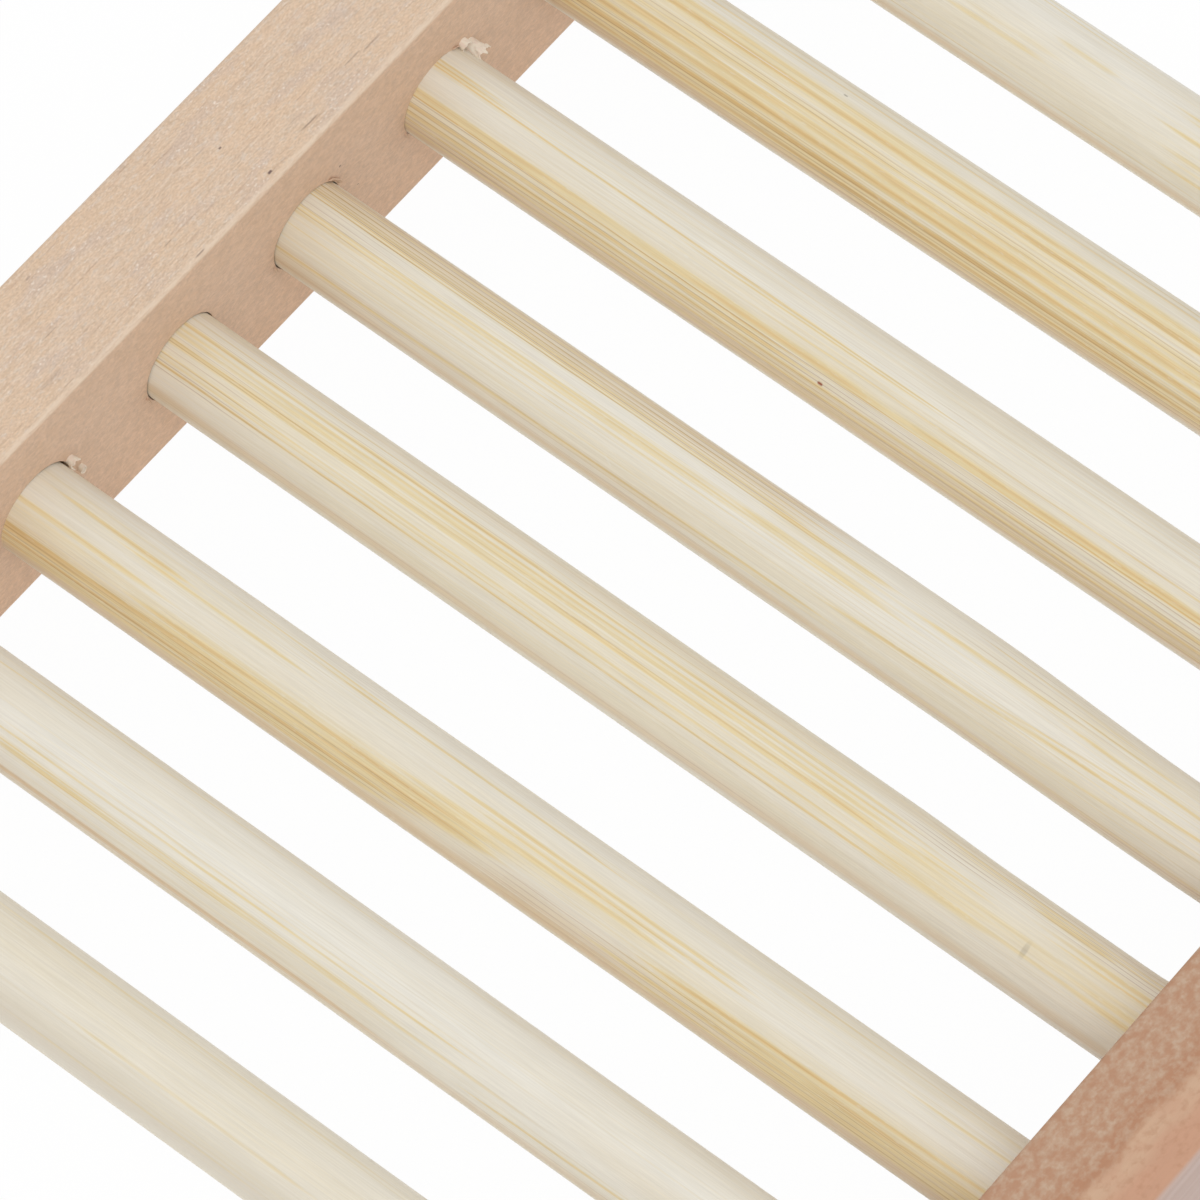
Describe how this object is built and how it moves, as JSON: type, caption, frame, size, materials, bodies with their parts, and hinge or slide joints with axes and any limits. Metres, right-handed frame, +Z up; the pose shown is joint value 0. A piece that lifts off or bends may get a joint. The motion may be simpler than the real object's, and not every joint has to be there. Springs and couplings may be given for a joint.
{
  "type": "soap dish",
  "caption": "Ladder-type wooden soap dish: upright rails joined by a row of round bamboo rods that hold the soap above the surface and let it drain.",
  "frame": {"origin": "on the surface that the dish stands on, under the middle of the dish", "axes": "+X along the rails, +Y along the rods towards the rear rail, +Z up"},
  "size_m": [0.108, 0.0872, 0.0158],
  "materials": {
    "rail_wood": "bare sanded hardwood, pinkish tan, fine straight grain, matt",
    "bamboo": "bare turned bamboo, pale ivory with lengthwise ochre fibre lines, satin"
  },
  "bodies": {
    "root": {"rear_rail": "rail_wood", "front_rail": "rail_wood", "rod_1": "bamboo", "rod_2": "bamboo", "rod_3": "bamboo", "rod_4": "bamboo", "rod_5": "bamboo", "rod_6": "bamboo", "rod_7": "bamboo", "rod_8": "bamboo"}
  },
  "joints": []
}
